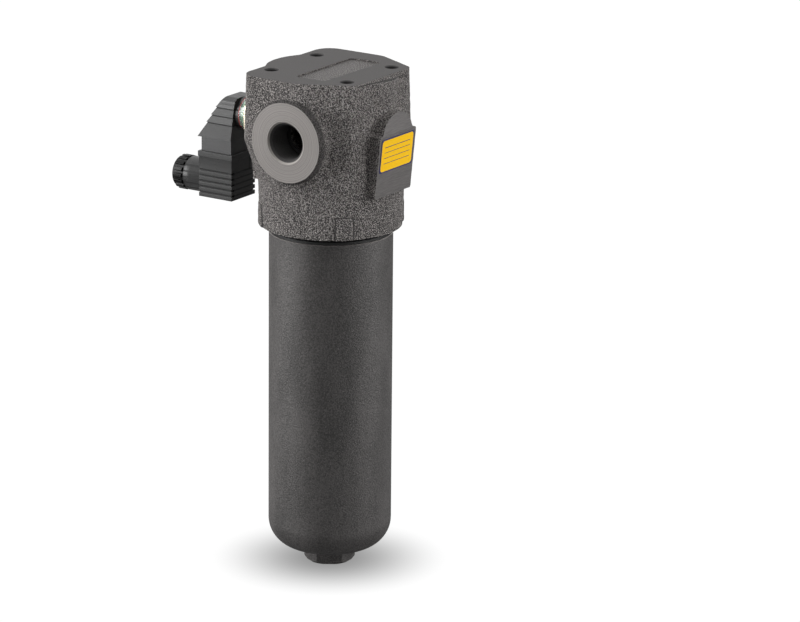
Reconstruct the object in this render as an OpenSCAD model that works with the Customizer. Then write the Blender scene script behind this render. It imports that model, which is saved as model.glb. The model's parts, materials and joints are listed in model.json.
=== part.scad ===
// In-line high pressure filter. The hexagon's foot is at the origin and the bowl's axis is +Z.
// The inlet faces -Y, the outlet +Y, the label pad +X and the clogging indicator -X.

/* [Overall] */
// Height from the foot of the hexagon to the head's top face
total_h = 345; // [300:1:420]
// Distance between the two port faces
port_span = 108; // [106:1:120]
// Depth of the port axis under the top face
port_drop = 40.5; // [39:0.5:44]
// Depth of the head's lower edge under the top face
head_h = 106.5; // [106:0.5:112]

/* [Head casting] */
// Distance from the axis to the flat right side
block_right = 41.5; // [39:0.5:43]
// Distance from the axis to the flat left side
block_left = 40; // [38:0.5:42]
// Distance from the axis to the front and rear sides at the top
block_front = 50.5; // [49:0.5:52]
// Half width of the block's flat right side
block_flat = 29.5; // [27:0.5:32]
// Draft added to the block's sides at the level of the ports
block_draft = 1; // [0:0.5:1.5]
// Radius of the side bulges over the indicator bosses
bulge_r = 36.5; // [35:0.5:38]
// Outer radius of the skirt at its lower edge
skirt_r = 48; // [47:0.5:50]
// Growth of the skirt's radius up to its shoulder
skirt_draft = 1.5; // [0:0.5:2]
// Height of the skirt's cone
skirt_h = 36; // [30:1:40]
// Width of the four cast lugs on the skirt
lug_w = 11.5; // [8:0.5:14]
// Height of the cast lugs
lug_h = 15; // [10:1:20]
// Height of the cast lugs over the skirt's lower edge
lug_out = 1.2; // [0.6:0.1:2]
// Depth of the sunken panel in the top face
panel_depth = 1; // [0.5:0.1:2]
// Width of the sunken panel
panel_w = 24; // [16:1:26]
// Length of the sunken panel
panel_l = 67; // [50:1:72]

/* [Ports and fixing holes] */
// Radius of the machined face round each port
port_face_r = 27; // [25:0.5:28]
// Minor radius of the port thread
port_r = 12.06; // [10:0.01:13]
// Radius of the countersink at the port's mouth
port_mouth_r = 14.6; // [14:0.1:16]
// Length of the port thread
port_thread = 20; // [16:1:22]
// Radius of the gallery behind each port thread
gallery_r = 10; // [9:0.5:11]
// Spacing of the top fixing holes along X
bolt_x = 61; // [60:0.5:62]
// Spacing of the top fixing holes along Y
bolt_y = 53; // [52:0.5:54]
// Tapping radius of the fixing holes
bolt_r = 4.25; // [4:0.05:5]
// Depth of the fixing holes
bolt_depth = 18; // [14:1:20]

/* [Side pads] */
// Distance from the axis to the pads at their upper edge
pad_x = 54; // [53:0.5:56]
// Distance from the axis to the pads at their lower edge
pad_foot_x = 49.6; // [49.5:0.1:52]
// Width of the pads
pad_w = 43; // [40:1:44]
// Height of the pads
pad_h = 43; // [36:1:44]
// Height of the pads' upper edge over the port axis
pad_over = 4.5; // [3:0.5:6]
// Radius of the round boss over each pad
pad_boss_r = 18.2; // [17:0.1:20]
// Distance from the axis to the machined indicator seat
seat_x = 48; // [47:0.5:50]
// Radius of the indicator's spot face
seat_r = 24; // [20:0.5:25]
// Width of the label
label_w = 38.5; // [30:0.5:40]
// Height of the label
label_h = 23.5; // [18:0.5:24]
// Thickness of the label
label_t = 0.3; // [0.2:0.1:0.5]
// Gap between the pad's upper edge and the label
label_gap = 2; // [1:0.1:4]

/* [Bowl] */
// Outer diameter of the bowl
bowl_d = 84; // [83:0.5:85]
// Radius of the bowl's inner corner
bowl_inner_corner = 4; // [2:0.5:9]
// Radius of the bowl's lower outer corner
bowl_corner = 20; // [12:1:24]
// Thickness of the bowl's floor
bowl_floor = 11; // [10:0.5:16]
// Gap between the head's lower edge and the bowl's shoulder
bowl_gap = 3; // [2:0.5:4]
// Width across the hexagon's flats
hex_af = 30; // [27:1:32]
// Height of the hexagon
hex_h = 10.2; // [8:0.1:14]
// Turn of the hexagon when the bowl is screwed home
hex_turn = 33.6; // [0:0.1:60]
// Diameter of the bowl's thread
thread_d = 76; // [75.4:0.1:76.4]
// Length of the bowl's thread
thread_l = 14; // [12:1:15]
// Diameter of the bowl's sealing land
land_d = 73.2; // [73:0.1:73.6]
// Length of the bowl's sealing land
land_l = 12; // [12:0.5:13]
// Radial running clearance between the bowl and the head
bowl_clear = 0.1; // [0.05:0.01:0.1]
// Width of the seal groove in the land
groove_w = 6; // [5.6:0.1:6.4]
// Depth of the seal groove
groove_t = 2.8; // [2.6:0.1:3]
// Wall of the bowl behind the seal groove
groove_wall = 2.8; // [2.5:0.1:3.5]
// Thickness of the backup ring
backup_t = 1.6; // [1.2:0.1:2]

/* [Filter element] */
// Outer radius of the pleats
media_r = 22.6; // [21:0.1:25]
// Inner radius of the pleats
media_bore_r = 14.6; // [14.4:0.1:16]
// Number of pleats
pleats = 40; // [24:1:44]
// Radial thickness of the pleated pack's wall
pleat_wall = 4; // [2:0.5:5]
// Radius of the end caps
cap_r = 23.6; // [22.6:0.1:26]
// Thickness of the end caps' plates
cap_t = 3; // [2:0.5:4]
// Height of the end caps' rims over the pleats
cap_lip = 5; // [3:0.5:8]
// Thickness of the end caps' rims
cap_rim = 1.2; // [0.8:0.1:1.5]
// Height of the seal's groove over the foot of the top cap's collar
seal_lift = 5; // [4:0.5:8]
// Height of the seal's groove in the top cap's collar
seal_groove = 3.4; // [3:0.1:4]
// Wall of the collar on the top cap
collar_wall = 5; // [4.5:0.1:6]
// Wall of the perforated core tube
core_wall = 1; // [0.8:0.1:1.5]
// Radius of the holes in the core tube
core_hole_r = 2.6; // [1.5:0.1:3.5]
// Number of hole rows along the core tube
core_rows = 9; // [4:1:12]
// Free height under the element
element_lift = 18.5; // [13:0.5:24]

/* [Spigot and bypass valve] */
// Outer radius of the spigot
spigot_r = 14.5; // [14:0.1:15]
// Wall of the spigot
spigot_wall = 2.5; // [2:0.1:3]
// Height of the spigot's hexagonal collar
spigot_collar_h = 5; // [4:0.5:6]
// Length of the spigot below its collar
spigot_l = 18; // [16:0.5:21]
// Height of the chamber's ceiling over the bowl's rim
chamber_h = 22; // [20:0.5:23]
// Radius of the annular chamber
chamber_r = 33; // [32:0.5:34]
// Width of the cast pocket between the inlet and the chamber
pocket_w = 50; // [40:1:52]
// Radius of the bypass seat's hole
seat_hole_r = 7.5; // [6:0.5:8]
// Radius of the poppet's plate
poppet_r = 9.8; // [9:0.1:10.5]
// Radius of the poppet's stem
stem_r = 2.5; // [2:0.1:3]
// Radius of the spigot's hub
hub_r = 7.6; // [7:0.1:8]
// Lift of the bypass poppet
poppet_lift = 5; // [3:0.5:6]
// Wire radius of the bypass spring
bypass_wire = 0.9; // [0.6:0.1:1]

/* [Indicator] */
// Width across the flats of the indicator's hexagon
ind_af = 32; // [30:1:32]
// Radius that the hexagon's corners are turned to
ind_corner_r = 17.3; // [16.5:0.1:17.3]
// Length of the hexagon
ind_hex_l = 11.5; // [8:0.5:14]
// Thickness of the seal under the hexagon
ind_seal_t = 1.5; // [1:0.1:2]
// Radius of the indicator's thread
ind_thread_r = 10; // [9:0.1:11]
// Length of the indicator's thread
ind_thread_l = 14; // [12:0.5:15]
// Radius of the indicator's nose
ind_nose_r = 6; // [5.5:0.1:6.5]
// Length of the indicator's nose
ind_nose_l = 12; // [11:0.5:13]
// Radius of the tube that guides the band
ind_tube_r = 8.4; // [8:0.1:8.6]
// Outer radius of the clear window
window_r = 11.8; // [11.4:0.1:12.2]
// Inner radius of the clear window
window_bore_r = 10.2; // [10:0.1:10.4]
// Length of the clear window
window_l = 3.9; // [3:0.1:4.5]
// Length of the metal skirt over the band
band_skirt_l = 3; // [2.8:0.1:4]
// Thickness of the window's seal
window_seal_t = 0.7; // [0.5:0.1:1]
// Travel of the piston and the band
ind_travel = 2.6; // [2:0.1:2.8]
// Length of the piston
piston_l = 14; // [12:0.5:15]
// Length of the spring's chamber
ind_chamber_l = 12; // [10:0.5:12.5]
// Length of the magnet
magnet_l = 3; // [2.5:0.1:3.5]
// Radius of the piston
piston_r = 5; // [4.5:0.1:5.2]
// Radius of the piston's stem
piston_stem_r = 2.6; // [2.2:0.1:2.8]
// Length of the reed switch
reed_l = 8.5; // [7:0.5:9]
// Radius of the drillings that bring pressure to the indicator
sensing_r = 1.5; // [1:0.1:1.6]
// Wire radius of the indicator's spring
ind_wire = 0.4; // [0.3:0.05:0.5]

/* [Elbow housing and plug] */
// Side of the plug, along X and Y
plug_w = 27.5; // [26:0.5:29]
// Height of the plug
plug_h = 32; // [30:1:36]
// Distance from the bowl's axis to the plug's axis
plug_x = 86.3; // [86:0.1:87]
// Height of the contact base between the plug and the elbow
base_h = 10; // [9.5:0.5:11]
// Side of the contact base
base_w = 24.8; // [24:0.1:25.4]
// Height of the port axis over the elbow's lower edge
elbow_drop = 18; // [17:0.5:19]
// Height of the elbow's roof over the port axis
elbow_over = 11.5; // [11.2:0.1:12]
// Width of the elbow at its lower edge
elbow_w = 27.8; // [26:0.1:29]
// Depth of the steps in the elbow's slope
elbow_lip = 1; // [0.3:0.1:1.4]
// Radius of the elbow's upper edges
elbow_crown_r = 4.8; // [3:0.1:6]
// Radius of the elbow's round collar
elbow_collar_r = 11.6; // [11:0.1:12]
// Wall of the plug and the elbow
shell = 2; // [1.6:0.1:2.4]
// Height of one grip rib
rib_pitch = 3.9; // [3.6:0.1:4]
// Number of grip grooves on the plug
rib_count = 5; // [3:1:5]
// Depth of the grip grooves
rib_depth = 0.9; // [0.3:0.1:1.1]
// Width of a contact blade
blade_w = 6.3; // [6:0.1:6.5]
// Thickness of a contact blade
blade_t = 0.8; // [0.6:0.1:1]
// Length of a blade below the contact base
blade_l = 12; // [10:0.5:13]
// Distance of the blades from the plug's axis
blade_offset = 7.5; // [7:0.1:8]
// Thickness of the gasket between the plug and its base
gasket_t = 1.5; // [1:0.1:2]
// Height of the terminal block
terminal_h = 15; // [13:0.5:16]

/* [Cable gland] */
// Radius of the gland tube on the plug
gland_r = 11.8; // [11:0.1:12.5]
// Length of the gland tube
gland_l = 15.1; // [13:0.1:17]
// Height of the gland's axis over the plug's lower face
gland_z = 11.2; // [11:0.1:13]
// Radius of the gland nut
nut_r = 12; // [11.5:0.1:12.3]
// Length of the gland nut
nut_l = 9.8; // [9.4:0.1:13]
// Radius of the cable's way through the gland
cable_r = 4; // [3:0.1:4.5]
// Number of grip ribs on the gland nut
nut_ribs = 16; // [10:1:20]

/* [Hidden] */

$fn = 96;
eps = 0.01;
port_z = total_h - port_drop;
head_z = total_h - head_h;
shoulder_z = head_z - bowl_gap;
relief_l = 4.5;
thread_z = shoulder_z + relief_l;
land_z = thread_z + thread_l;
rim_z = land_z + land_l;
bowl_bore = land_d - 2 * (groove_t + groove_wall);
chamber_z = rim_z + 0.4;
ceiling_z = rim_z + chamber_h;
seat_z = port_z + 8.5;
pocket_z = seat_z + 4.5;
pocket_h = 11.5;
pocket_y = 17.5;
bore_r = spigot_r - 0.5;
floor_z = hex_h + bowl_floor;
element_z = floor_z + element_lift;
spigot_z = ceiling_z - spigot_collar_h - spigot_l;
cap_z = spigot_z;
ind_end_x = seat_x + ind_seal_t + ind_hex_l;
skirt_end_x = ind_end_x + band_skirt_l;
window_end_x = skirt_end_x + window_l;
elbow_x = window_end_x + window_seal_t;
tube_end_x = elbow_x + 5.4;
nose_x = seat_x - ind_thread_l - ind_nose_l;
piston_x = nose_x + 8;
spring_x = piston_x + piston_l;
magnet_x = tube_end_x - 1.4 - ind_travel - magnet_l;
plug_z = port_z - elbow_drop - base_h;
plug_foot_z = plug_z - plug_h;
block_x = plug_x - plug_w / 2;
elbow_steps = [0, 0.373, 0.559, 0.753, 1];

function on_circle(c, r, a) = c + r * [cos(a), sin(a)];
function arc_points(c, r, a0, a1, n) = [for (i = [0:n]) on_circle(c, r, a0 + (a1 - a0) * i / n)];

// Flat ring along +Z
module ring(r_out, r_in, h) {
    difference() {
        cylinder(r = r_out, h = h);
        translate([0, 0, -1]) cylinder(r = r_in, h = h + 2);
    }
}

// Torus round +Z
module o_ring(r_mid, r_wire) {
    rotate_extrude() translate([r_mid, 0]) circle(r = r_wire, $fn = 32);
}

// Child drawn along +Z, laid along -X from the given distance, at the port's height
module toward_left(x0) {
    translate([-x0, 0, port_z]) rotate([0, -90, 0]) children();
}

// Round wire wound round +Z, with its end turns' centres at 0 and h
module coil(r_mid, r_wire, turns, h) {
    sides = 8;
    steps = turns * 18;
    points = [for (i = [0:steps]) for (k = [0:sides - 1])
        let (a = 360 * turns * i / steps, b = 360 * k / sides, r = r_mid + r_wire * cos(b))
        [r * cos(a), r * sin(a), h * i / steps + r_wire * sin(b)]];
    walls = [for (i = [0:steps - 1]) for (k = [0:sides - 1])
        [i * sides + k, i * sides + (k + 1) % sides, (i + 1) * sides + (k + 1) % sides, (i + 1) * sides + k]];
    first = [for (k = [0:sides - 1]) sides - 1 - k];
    last = [for (k = [0:sides - 1]) steps * sides + k];
    polyhedron(points, concat(walls, [first, last]));
}

// Head casting

// Plan of the block over the ports, without its side bulges
module block_plan(grow) {
    right = [block_right + grow - 6, block_flat + grow];
    front = [4, block_front + grow - 14];
    slope = atan2(front[1] - right[1], right[0] - front[0]) + asin((14 - 6) / norm(right - front));
    left = [-block_left - grow + 12, block_front + grow - 12];
    half = concat(
        arc_points(right, 6, 0, 90 - slope, 5),
        arc_points(front, 14, 90 - slope, 90, 4),
        arc_points(left, 12, 90, 180, 10));
    polygon(concat(half, [for (i = [len(half) - 1:-1:0]) [half[i][0], -half[i][1]]]));
}

module block() {
    hull() {
        translate([0, 0, total_h - 1]) linear_extrude(height = 1) block_plan(0);
        translate([0, 0, port_z - 4]) linear_extrude(height = 1) block_plan(block_draft);
        translate([0, 0, head_z + skirt_h - 4]) cylinder(r = skirt_r + skirt_draft, h = 1, $fn = 64);
    }
    for (side = [-1, 1])
        translate([side * (46 - bulge_r), 0, port_z - 20])
            cylinder(r = bulge_r, h = port_drop + 20 - (side > 0 ? 2.5 : 0));
}

module skirt() {
    translate([0, 0, head_z]) cylinder(r1 = skirt_r, r2 = skirt_r + skirt_draft, h = skirt_h);
    for (a = [45:90:315])
        rotate([0, 0, a]) translate([0, -lug_w / 2, head_z]) cube([skirt_r + lug_out, lug_w, lug_h]);
}

// Port boss on the front, with its turned face and the slope that runs down into the skirt
module port_boss() {
    hull() {
        translate([0, 0, port_z - port_face_r / 3]) rotate([90, 0, 0]) translate([0, 0, port_span / 2 - 3.6])
            cylinder(r = port_face_r * 2 / 3, h = 2, $fn = 48);
        translate([0, 0, head_z + skirt_h - 4]) cylinder(r = skirt_r + skirt_draft - 0.2, h = 1, $fn = 48);
    }
    translate([0, 0, port_z]) rotate([90, 0, 0]) {
        cylinder(r1 = port_face_r + 3.2, r2 = port_face_r + 0.7, h = port_span / 2 - 1.6);
        cylinder(r = port_face_r, h = port_span / 2);
    }
}

// Leaning pad with its round boss, on the right side
module side_pad() {
    top = port_z + pad_over;
    rotate([90, 0, 0]) linear_extrude(height = pad_w, center = true)
        polygon([[30, top - pad_h], [pad_foot_x, top - pad_h], [pad_x, top], [30, top]]);
    intersection() {
        translate([0, 0, port_z]) rotate([0, 90, 0]) cylinder(r = pad_boss_r, h = pad_x - 0.5);
        translate([0, -pad_boss_r - 1, port_z]) cube([2 * pad_x, 2 * pad_boss_r + 2, pad_boss_r + 1]);
    }
}

module port_bore() {
    translate([0, 0, port_z]) rotate([90, 0, 0]) {
        translate([0, 0, port_span / 2 - port_thread]) cylinder(r = port_r, h = port_thread + 1);
        translate([0, 0, port_span / 2 - (port_mouth_r - port_r)])
            cylinder(r1 = port_r, r2 = port_mouth_r + 0.05, h = port_mouth_r - port_r + 0.05);
    }
}

module fixing_hole() {
    translate([0, 0, -bolt_depth]) cylinder(r = bolt_r, h = bolt_depth + 1);
    translate([0, 0, -bolt_depth - bolt_r * 0.6]) cylinder(r1 = 0, r2 = bolt_r, h = bolt_r * 0.6);
}

// Cast and bored ways inside the head
module head_ways() {
    lead = 0.8;
    translate([0, 0, head_z - 1]) cylinder(r = thread_d / 2 + bowl_clear, h = land_z - head_z + 2);
    translate([0, 0, head_z - eps])
        cylinder(r1 = thread_d / 2 + bowl_clear + lead, r2 = thread_d / 2 + bowl_clear, h = lead);
    translate([0, 0, head_z]) cylinder(r = land_d / 2 + bowl_clear, h = chamber_z - head_z);
    translate([0, 0, head_z]) cylinder(r = chamber_r, h = ceiling_z - head_z);
    translate([0, 0, ceiling_z - 1]) cylinder(r = bore_r, h = seat_z - ceiling_z + 1);
    translate([0, 0, seat_z - 1]) cylinder(r = seat_hole_r, h = 6);
    intersection() {
        translate([0, 0, ceiling_z - 1]) cylinder(r = chamber_r - 2, h = pocket_z + pocket_h - ceiling_z + 1);
        translate([-pocket_w / 2, -chamber_r, ceiling_z - 1]) cube([pocket_w, chamber_r - pocket_y, total_h]);
    }
    translate([-gallery_r, -pocket_y - 1, pocket_z]) cube([2 * gallery_r, pocket_y + 1, pocket_h]);
    translate([0, 0, pocket_z]) cylinder(r = gallery_r, h = pocket_h);
    translate([0, 0, port_z]) rotate([90, 0, 0]) translate([0, 0, pocket_y + 1])
        cylinder(r = gallery_r, h = port_span / 2 - pocket_y - 2);
    translate([0, 0, port_z]) rotate([-90, 0, 0]) translate([0, 0, gallery_r])
        cylinder(r = gallery_r, h = port_span / 2 - gallery_r - 1);
    port_bore();
    mirror([0, 1, 0]) port_bore();
}

// Stepped bore for the indicator, with the drillings that bring it the inlet's and the outlet's pressure
module indicator_bore() {
    toward_left(seat_x) cylinder(r = seat_r, h = 20);
    toward_left(seat_x - ind_thread_l - 3) cylinder(r = ind_thread_r + 0.05, h = ind_thread_l + 4);
    toward_left(nose_x - 3.5) cylinder(r = ind_nose_r + 0.1, h = ind_nose_l + 4);
    translate([1.8 - nose_x, 0, ceiling_z - 1]) cylinder(r = sensing_r, h = port_z - ceiling_z);
    translate([0, 9, 0]) toward_left(9) cylinder(r = sensing_r, h = seat_x - ind_thread_l - 10);
}

module head() {
    color([0.30, 0.29, 0.28]) difference() {
        union() {
            block();
            skirt();
            port_boss();
            mirror([0, 1, 0]) port_boss();
            side_pad();
            mirror([1, 0, 0]) side_pad();
        }
        head_ways();
        indicator_bore();
        for (x = [-1, 1], y = [-1, 1])
            translate([x * bolt_x / 2, y * bolt_y / 2, total_h]) fixing_hole();
        translate([5.5 - panel_w / 2, -panel_l / 2, total_h - panel_depth]) cube([panel_w, panel_l, 5]);
    }
}

module label() {
    lean = atan2(pad_x - pad_foot_x, pad_h);
    color([0.95, 0.75, 0.10])
        translate([pad_x, 0, port_z + pad_over]) rotate([0, lean, 0])
            translate([0, 0, -label_gap - label_h / 2]) rotate([90, 0, 90])
                linear_extrude(height = label_t) square([label_w, label_h], center = true);
}

// Spigot and bypass valve

module spigot() {
    collar_z = spigot_z + spigot_l;
    inner = spigot_r - spigot_wall;
    guide_z = ceiling_z + 2;
    color([0.62, 0.62, 0.60]) {
        rotate_extrude() {
            translate([inner, spigot_z]) square([spigot_wall, spigot_l + 2]);
            translate([inner, collar_z]) square([bore_r - 0.05 - inner, spigot_collar_h + 8]);
            translate([stem_r + 0.1, guide_z]) square([hub_r - stem_r - 0.1, 4]);
        }
        translate([0, 0, collar_z]) difference() {
            cylinder(r = spigot_r + 4.5, h = spigot_collar_h, $fn = 6);
            translate([0, 0, -1]) cylinder(r = inner + 1, h = spigot_collar_h + 2);
        }
        for (a = [90:120:330]) rotate([0, 0, a])
            translate([hub_r - 0.8, -1.6, guide_z]) cube([inner - hub_r + 1.6, 3.2, 4]);
    }
}

module bypass_poppet() {
    color([0.75, 0.74, 0.70]) rotate_extrude()
        polygon([[0, ceiling_z - 2], [stem_r - 0.5, ceiling_z - 2], [stem_r, ceiling_z - 1.5],
            [stem_r, seat_z - 3], [poppet_r, seat_z - 3], [poppet_r, seat_z],
            [seat_hole_r - 0.4, seat_z], [seat_hole_r - 1.2, seat_z + 2.5], [0, seat_z + 2.5]]);
}

module bypass_spring() {
    foot = ceiling_z + 6 + bypass_wire + 0.05;
    color([0.70, 0.70, 0.72]) translate([0, 0, foot])
        coil(6, bypass_wire, 4, seat_z - 3.05 - bypass_wire - foot);
}

// Bowl

module bowl() {
    r = bowl_d / 2;
    step = 1.2;
    color([0.25, 0.25, 0.24]) difference() {
        union() {
            rotate_extrude() {
                difference() {
                    union() {
                        translate([0, hex_h + bowl_corner])
                            square([r, shoulder_z - 2.3 - hex_h - bowl_corner]);
                        translate([0, hex_h]) square([r - bowl_corner, bowl_corner + 1]);
                        translate([r - bowl_corner, hex_h + bowl_corner]) circle(r = bowl_corner);
                        translate([0, shoulder_z - 3]) square([r - step, 3]);
                        translate([0, shoulder_z - step]) square([r - 0.4, step]);
                        translate([0, shoulder_z - 1]) square([land_d / 2, rim_z - shoulder_z + 1]);
                        translate([0, thread_z]) square([thread_d / 2, thread_l]);
                    }
                    translate([land_d / 2 - groove_t, land_z + (land_l - groove_w) / 2])
                        square([groove_t + 1, groove_w]);
                    translate([-2 * r, 0]) square([2 * r, total_h]);
                }
            }
            intersection() {
                rotate([0, 0, hex_turn]) cylinder(r = hex_af / 2 / cos(30), h = hex_h + 3, $fn = 6);
                cylinder(r1 = hex_af / 2 + 0.5, r2 = hex_af / 2 + hex_h + 3.5, h = hex_h + 3);
            }
        }
        translate([0, 0, floor_z + bowl_inner_corner]) cylinder(r = bowl_bore / 2, h = total_h);
        rotate_extrude() {
            translate([0, floor_z]) square([bowl_bore / 2 - bowl_inner_corner, bowl_inner_corner + 1]);
            intersection() {
                translate([bowl_bore / 2 - bowl_inner_corner, floor_z + bowl_inner_corner])
                    circle(r = bowl_inner_corner);
                translate([0, floor_z]) square([bowl_bore / 2, bowl_inner_corner + 1]);
            }
        }
        translate([0, 0, rim_z - 1]) cylinder(r1 = bowl_bore / 2, r2 = bowl_bore / 2 + 1.2, h = 1.2);
    }
}

module bowl_oring() {
    r_wire = (groove_t + bowl_clear) / 2 - 0.04;
    lift = land_l / 2 - groove_w / 2 + r_wire + 0.3;
    color([0.06, 0.06, 0.06]) translate([0, 0, land_z + lift])
        o_ring(land_d / 2 - groove_t + r_wire + 0.04, r_wire);
}

module bowl_backup_ring() {
    top = land_z + land_l / 2 + groove_w / 2;
    color([0.85, 0.85, 0.80]) translate([0, 0, top - backup_t - 0.1])
        ring(land_d / 2 + bowl_clear - 0.05, land_d / 2 - groove_t + 0.05, backup_t);
}

// Filter element

module element_top_cap() {
    color([0.55, 0.55, 0.52]) rotate_extrude() difference() {
        union() {
            translate([spigot_r + 0.1, cap_z]) square([cap_r - spigot_r - 0.1, cap_t]);
            translate([cap_r - cap_rim, cap_z - cap_lip]) square([cap_rim, cap_lip + 1]);
            translate([spigot_r + 0.1, cap_z]) square([collar_wall, spigot_l - 0.5]);
        }
        translate([spigot_r - 1, cap_z + seal_lift]) square([3.6, seal_groove]);
    }
}

module element_oring() {
    r_wire = 1.25;
    color([0.06, 0.06, 0.06]) translate([0, 0, cap_z + seal_lift + seal_groove / 2])
        o_ring(spigot_r + 0.05 + r_wire, r_wire);
}

module element_core() {
    base = element_z + cap_t;
    length = cap_z - base;
    row = length / (core_rows + 1);
    color([0.68, 0.68, 0.66]) difference() {
        translate([0, 0, base]) ring(media_bore_r - 0.2, media_bore_r - 0.2 - core_wall, length);
        for (i = [1:core_rows], k = [0:5])
            translate([0, 0, base + row * i]) rotate([0, 90, 60 * k + 30 * (i % 2)])
                translate([0, 0, media_bore_r - 5]) cylinder(r = core_hole_r, h = 10, $fn = 24);
    }
}

module element_media() {
    base = element_z + cap_t;
    step = 180 / pleats;
    tip = media_r - 0.4;
    outer = [for (i = [0:2 * pleats - 1])
        let (r = i % 2 == 0 ? tip : media_bore_r + pleat_wall) [r * cos(step * i), r * sin(step * i)]];
    inner = [for (i = [0:2 * pleats - 1])
        let (r = i % 2 == 0 ? tip - pleat_wall : media_bore_r) [r * cos(step * i), r * sin(step * i)]];
    color([0.86, 0.84, 0.78]) translate([0, 0, base]) linear_extrude(height = cap_z - base)
        difference() {
            polygon(outer);
            polygon(inner);
        }
}

module element_bottom_cap() {
    color([0.55, 0.55, 0.52]) translate([0, 0, element_z]) difference() {
        cylinder(r = cap_r, h = cap_t + cap_lip);
        translate([0, 0, cap_t]) cylinder(r = cap_r - cap_rim, h = cap_lip + 1);
    }
}

// Clogging indicator

module indicator_body() {
    color([0.80, 0.78, 0.72]) difference() {
        union() {
            toward_left(seat_x + ind_seal_t) intersection() {
                cylinder(r = ind_af / 2 / cos(30), h = ind_hex_l, $fn = 6);
                cylinder(r = ind_corner_r, h = ind_hex_l);
            }
            toward_left(seat_x - ind_thread_l) cylinder(r = ind_thread_r, h = ind_thread_l + ind_seal_t + 1);
            toward_left(nose_x) cylinder(r = ind_nose_r, h = ind_nose_l + 1);
            toward_left(ind_end_x - 1) cylinder(r = ind_tube_r, h = tube_end_x - ind_end_x + 1);
            toward_left(ind_end_x - 1) ring(window_r + 0.4, window_bore_r, band_skirt_l + 1);
        }
        toward_left(nose_x + 4) ring(ind_nose_r + 1, ind_nose_r - 1.6, 2.6);
        toward_left(nose_x - 1) cylinder(r = 2.8, h = 10);
        toward_left(piston_x) cylinder(r = piston_r + 0.05, h = piston_l + ind_chamber_l);
        toward_left(piston_x) cylinder(r = piston_stem_r + 0.5, h = tube_end_x - 1.2 - piston_x);
    }
}

module indicator_seal() {
    color([0.10, 0.10, 0.10]) toward_left(seat_x) ring(ind_thread_r + 5, ind_thread_r + 0.1, ind_seal_t);
}

module indicator_nose_oring() {
    r_wire = 0.8;
    color([0.06, 0.06, 0.06]) toward_left(nose_x + 4 + 1.3)
        o_ring(ind_nose_r - 1.6 + r_wire + 0.02, r_wire);
}

module indicator_piston() {
    color([0.75, 0.74, 0.70]) union() {
        toward_left(piston_x) cylinder(r = piston_r, h = piston_l);
        toward_left(spring_x - 1) cylinder(r = piston_stem_r, h = magnet_x - spring_x + 1);
    }
}

module indicator_magnet() {
    color([0.45, 0.45, 0.47]) toward_left(magnet_x) cylinder(r = piston_stem_r + 0.3, h = magnet_l);
}

module indicator_spring() {
    length = ind_chamber_l - 2 * ind_wire - 0.1;
    color([0.70, 0.70, 0.72]) toward_left(spring_x + ind_wire + 0.05) coil(4.2, ind_wire, 5, length);
}

module indicator_band() {
    r_in = ind_tube_r + 0.1;
    r_out = window_bore_r - 0.1;
    first = skirt_end_x - band_skirt_l + 0.3;
    color([0.10, 0.50, 0.25]) toward_left(first) ring(r_out, r_in, window_end_x - first - 0.3);
}

module indicator_window() {
    color([0.80, 0.90, 0.90]) toward_left(skirt_end_x) ring(window_r, window_bore_r, window_l);
}

module window_seal() {
    color([0.45, 0.10, 0.10]) toward_left(window_end_x) ring(window_r - 0.2, window_bore_r, window_seal_t);
}

// Elbow housing

// Side view of the elbow, with a stepped slope toward the left
module elbow_side() {
    low = port_z - elbow_drop;
    lip = elbow_lip;
    lean = 0.65;
    levels = elbow_steps * (elbow_over + elbow_drop);
    left = block_x + plug_w - 0.1;
    slope = [for (i = [0:3]) for (p = [[levels[i], lip], [levels[i + 1], 0]])
        [-(left - lean * p[0] + p[1]), low + p[0]]];
    polygon(concat([[-block_x - 0.9, low]], slope, [[1.5 - block_x, low + elbow_over + elbow_drop]]));
}

// Front view of the elbow, narrowing upward in the same steps
module elbow_front() {
    low = port_z - elbow_drop;
    top = elbow_over + elbow_drop;
    wide = elbow_w / 2;
    levels = elbow_steps * top;
    narrowing = 0.025 * wide;
    lip = elbow_lip / 2;
    half = [for (i = [0:3]) for (p = [[wide - narrowing * i, levels[i]],
        [wide - narrowing * (i + 1) - lip, min(levels[i + 1], top - elbow_crown_r - 0.2)]]) p];
    cap = arc_points([0.878 * wide - elbow_crown_r, top - elbow_crown_r], elbow_crown_r, 0, 90, 6);
    side = concat(half, cap);
    translate([0, low]) polygon(concat(side, [for (i = [len(side) - 1:-1:0]) [-side[i][0], side[i][1]]]));
}

module elbow_housing() {
    low = port_z - elbow_drop;
    color([0.08, 0.08, 0.08]) difference() {
        union() {
            intersection() {
                rotate([90, 0, 0]) linear_extrude(height = 2 * plug_w, center = true) elbow_side();
                translate([-plug_x - plug_w, 0, 0]) rotate([90, 0, 90])
                    linear_extrude(height = 2 * plug_w) elbow_front();
            }
            toward_left(elbow_x) cylinder(r = elbow_collar_r, h = block_x + 1 - elbow_x + 2);
        }
        toward_left(elbow_x - 1) cylinder(r = ind_tube_r + 0.05, h = tube_end_x - elbow_x + 1.3);
        toward_left(elbow_x - 1) cylinder(r = window_bore_r, h = ind_travel + 1.2);
        intersection() {
            translate([-plug_x - 8, -9, low - 1]) cube([17, 18, elbow_drop + 5]);
            translate([shell + 0.6, 0, -shell]) rotate([90, 0, 0])
                linear_extrude(height = 2 * plug_w, center = true) elbow_side();
        }
        toward_left(tube_end_x) cylinder(r = 1.35, h = reed_l);
    }
}

module reed_switch() {
    color([0.55, 0.75, 0.60]) {
        toward_left(tube_end_x + 0.3) cylinder(r = 1.3, h = reed_l);
        toward_left(tube_end_x + reed_l - 1) cylinder(r = 0.35, h = 2.4);
    }
}

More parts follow.
